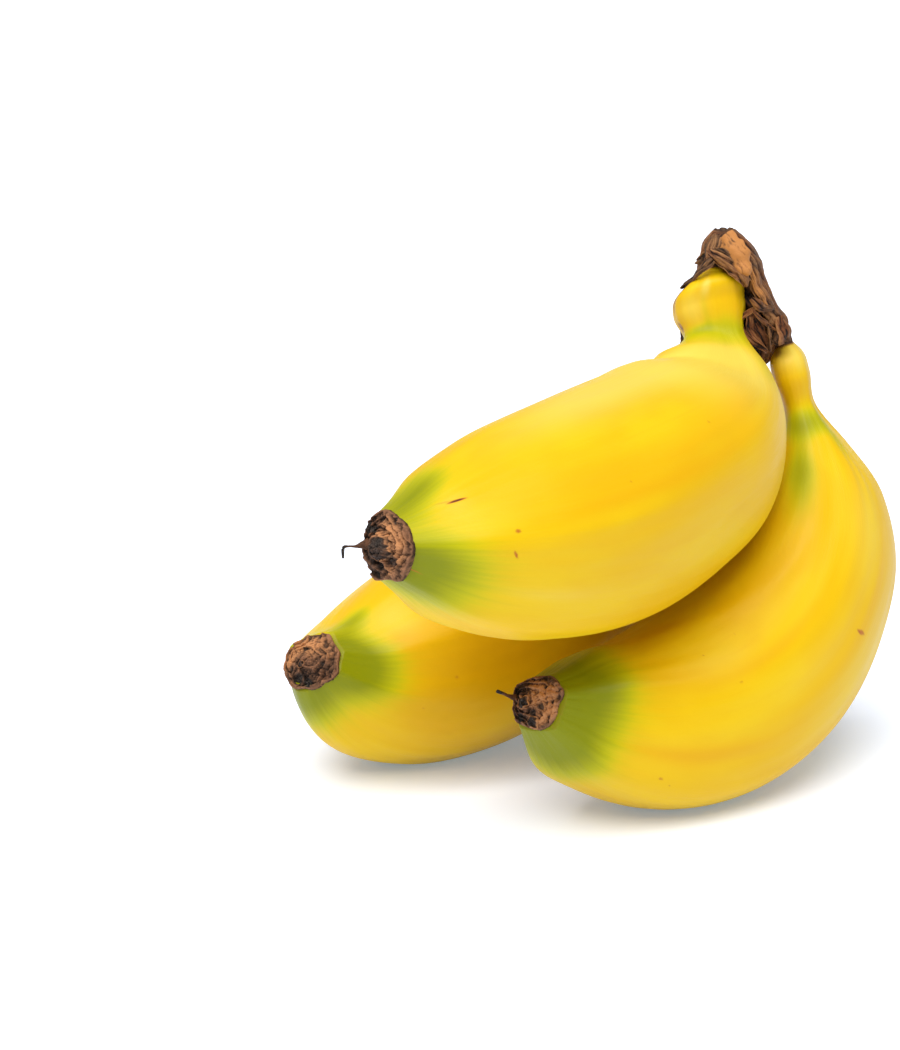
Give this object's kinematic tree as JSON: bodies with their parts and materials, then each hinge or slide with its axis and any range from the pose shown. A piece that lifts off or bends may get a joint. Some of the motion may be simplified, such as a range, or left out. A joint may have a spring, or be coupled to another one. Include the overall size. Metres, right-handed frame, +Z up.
{
  "type": "banana cluster",
  "caption": "Cluster of short plump dessert bananas joined at a dried crown, one lying across the others, with dried blossom tips.",
  "frame": {"origin": "on the ground, under the middle of the cluster's box", "axes": "+Z up; the blossom ends point towards -X and -Y, and the crown stands towards +X and +Y"},
  "size_m": [0.1048, 0.1012, 0.0903],
  "materials": {
    "peel": "waxy satin yellow peel, green at the blossom end and in a band at the neck",
    "dry_crown": "dried brown leathery skin with long folds and torn fibres",
    "dry_tip": "dried brown flower remains, folded and matt"
  },
  "bodies": {
    "root": {"finger_upper": "peel", "finger_right": "peel", "finger_left": "peel", "crown": "dry_crown", "blossom_tip_upper": "dry_tip", "blossom_tip_right": "dry_tip", "blossom_tip_left": "dry_tip"}
  },
  "joints": []
}
